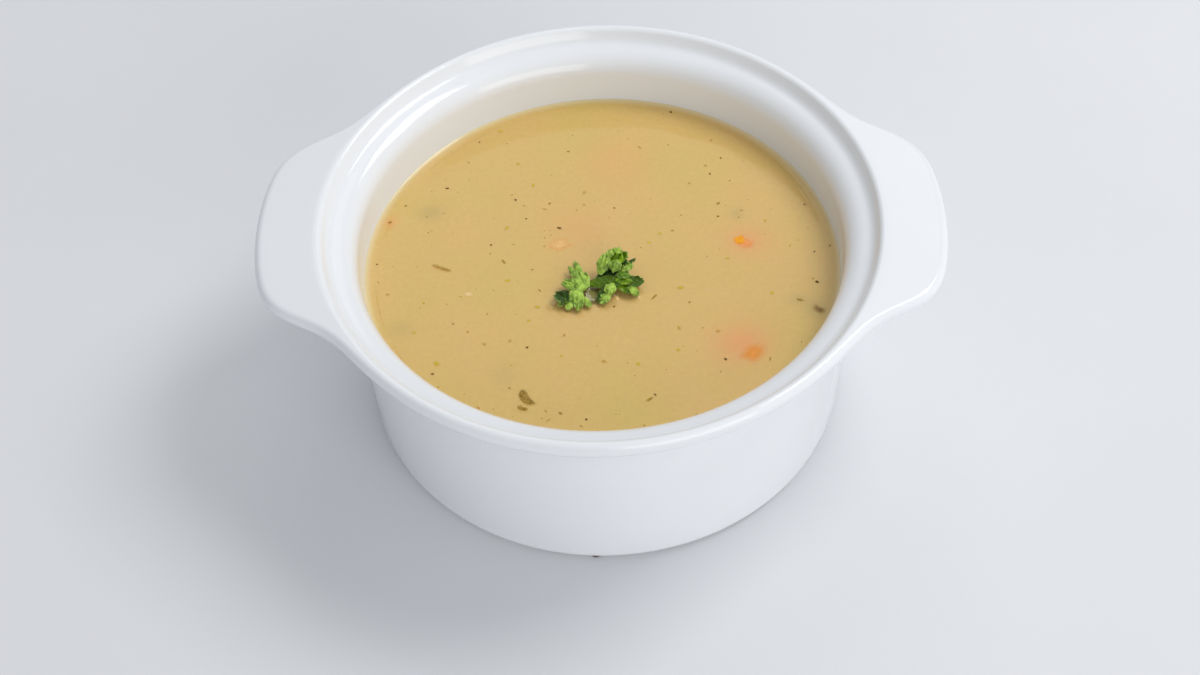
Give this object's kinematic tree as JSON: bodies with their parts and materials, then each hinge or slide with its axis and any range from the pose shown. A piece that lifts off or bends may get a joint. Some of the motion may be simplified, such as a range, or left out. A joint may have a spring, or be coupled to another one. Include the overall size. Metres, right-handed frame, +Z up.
{
  "type": "bowl of cream soup",
  "caption": "Round white porcelain soup bowl with flat side handles and an inner lid ledge, filled with thick cream soup and topped with a curly parsley sprig.",
  "frame": {"origin": "centre of the bowl's foot, on the surface it stands on", "axes": "+Z up out of the bowl, +X along the line through both handles"},
  "size_m": [0.1578, 0.1322, 0.055],
  "materials": {
    "porcelain": "gloss",
    "soup": "satin",
    "parsley": "satin"
  },
  "bodies": {
    "root": {"bowl": "porcelain", "soup": "soup", "parsley_sprig": "parsley"}
  },
  "joints": []
}
